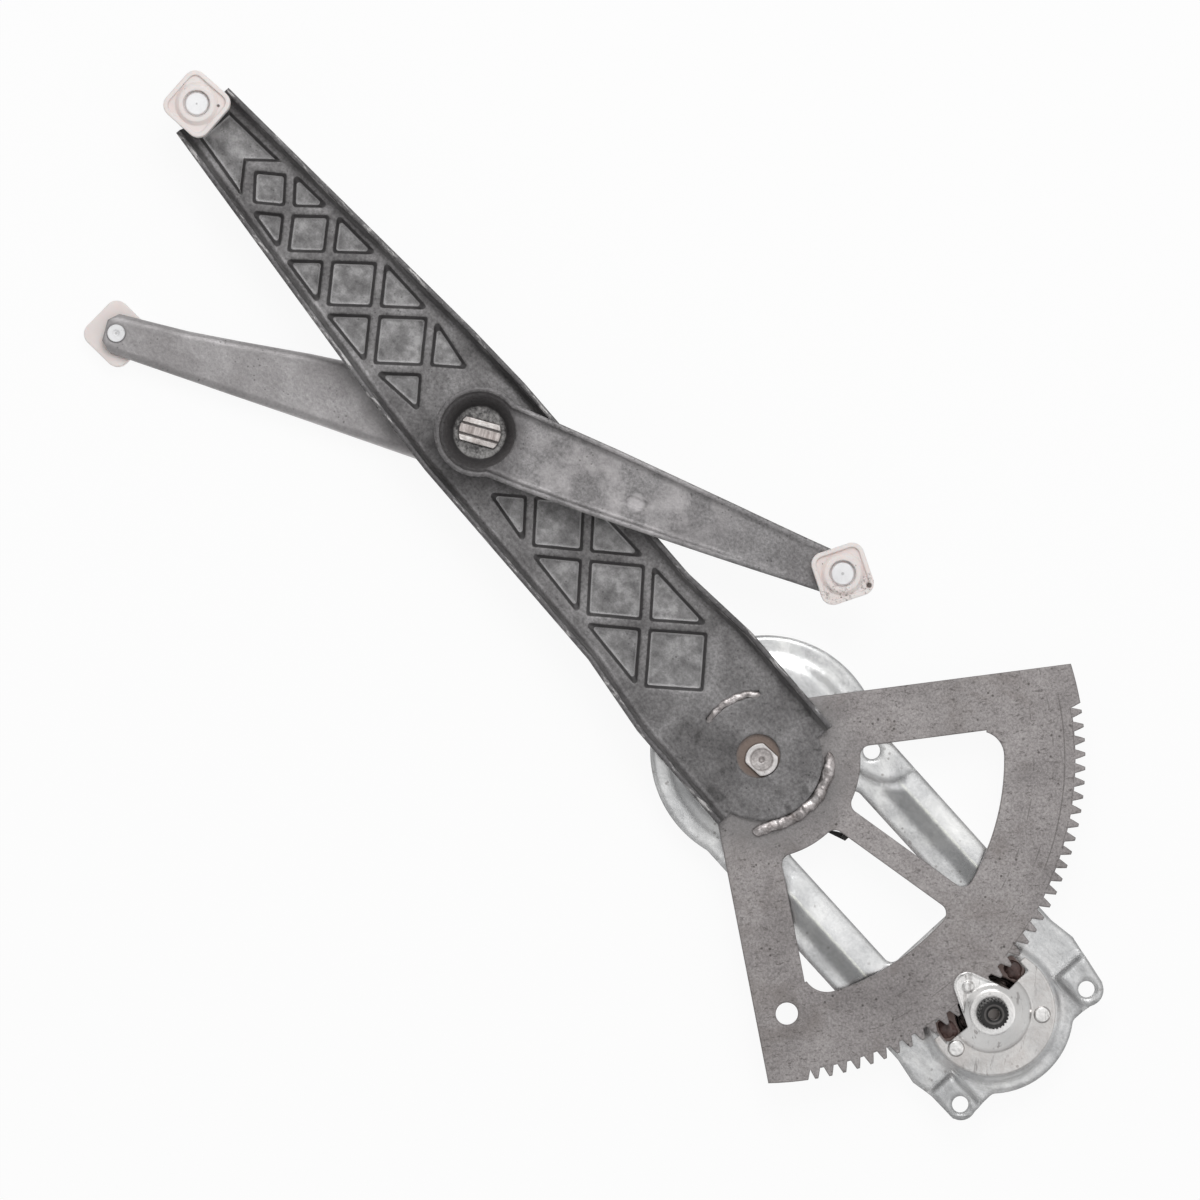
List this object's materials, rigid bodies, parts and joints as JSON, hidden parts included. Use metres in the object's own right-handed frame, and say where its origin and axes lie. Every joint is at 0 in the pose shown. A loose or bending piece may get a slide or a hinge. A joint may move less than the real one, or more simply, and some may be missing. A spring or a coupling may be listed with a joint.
{
  "type": "window regulator",
  "caption": "Cross-arm window regulator: toothed sector on a lattice-pressed lift arm, crossing balance arm, square plastic sliders, pressed base plate and hand-crank pinion.",
  "frame": {"origin": "midway between the two ear holes, on the ears' front face", "axes": "+X from the sector pivot towards the crank axis, +Y across to one ear, +Z out of the door panel towards the viewer, along the crank axis"},
  "size_m": [0.5842, 0.2272, 0.0405],
  "materials": {
    "galvanised": "zinc-coated sheet, smooth grey-white",
    "bright_rivet": "bright zinc-plated",
    "gear_steel": "bare turned steel, lightly oiled",
    "black_spring": "blackened spring steel",
    "sector_steel": "bare rolled sheet, stained",
    "arm_steel": "bare pressed sheet, dark grey",
    "weld_metal": "bright arc weld",
    "ivory_nylon": "moulded, satin",
    "black_steel": "black, oily",
    "bright_spring": "bright wire"
  },
  "bodies": {
    "base": {"base_plate": "galvanised", "pinion_cover": "galvanised", "clutch_housing": "galvanised", "housing_rivets": "bright_rivet", "pivot_bush": "gear_steel", "counter_spring": "black_spring"},
    "sector": {"sector_gear": "sector_steel", "lift_arm": "arm_steel", "weld_beads": "weld_metal", "pivot_shaft": "gear_steel", "pivot_retainer": "black_spring", "lift_stud": "bright_rivet"},
    "balance": {"balance_arm_front": "arm_steel", "balance_arm_rear": "arm_steel", "cross_pin": "gear_steel", "front_stud": "bright_rivet", "rear_stud": "bright_rivet"},
    "lift_pad": {"slider_lift": "ivory_nylon"},
    "front_pad": {"slider_front": "ivory_nylon"},
    "rear_pad": {"slider_rear": "ivory_nylon"},
    "crank": {"crank_spindle": "black_steel", "pinion": "gear_steel", "clutch_driver": "gear_steel", "clutch_spring": "bright_spring"}
  },
  "joints": [
    {"name": "sector_swing", "type": "hinge", "parent": "base", "child": "sector", "pos_m": [-0.173, 0, 0], "axis": [0, 0, 1], "range_deg": [-46, 28]},
    {"name": "crank_turn", "type": "hinge", "parent": "base", "child": "crank", "pos_m": [-0.021, 0, 0], "axis": [0, 0, 1], "range_deg": [-400, 660]},
    {"name": "balance_swing", "type": "hinge", "parent": "sector", "child": "balance", "pos_m": [-0.36473, 0.00536, 0], "axis": [0, 0, 1], "range_deg": [-60, 95]},
    {"name": "lift_pad_turn", "type": "hinge", "parent": "sector", "child": "lift_pad", "pos_m": [-0.55585, 0.01069, 0], "axis": [0, 0, 1], "continuous": true},
    {"name": "front_pad_turn", "type": "hinge", "parent": "balance", "child": "front_pad", "pos_m": [-0.21017, 0.08174, 0], "axis": [0, 0, 1], "continuous": true},
    {"name": "rear_pad_turn", "type": "hinge", "parent": "balance", "child": "rear_pad", "pos_m": [-0.50698, -0.08458, 0], "axis": [0, 0, 1], "continuous": true}
  ],
  "couplings": [
    {"joint": "crank_turn", "follows": "sector_swing", "ratio": -14.2}
  ]
}
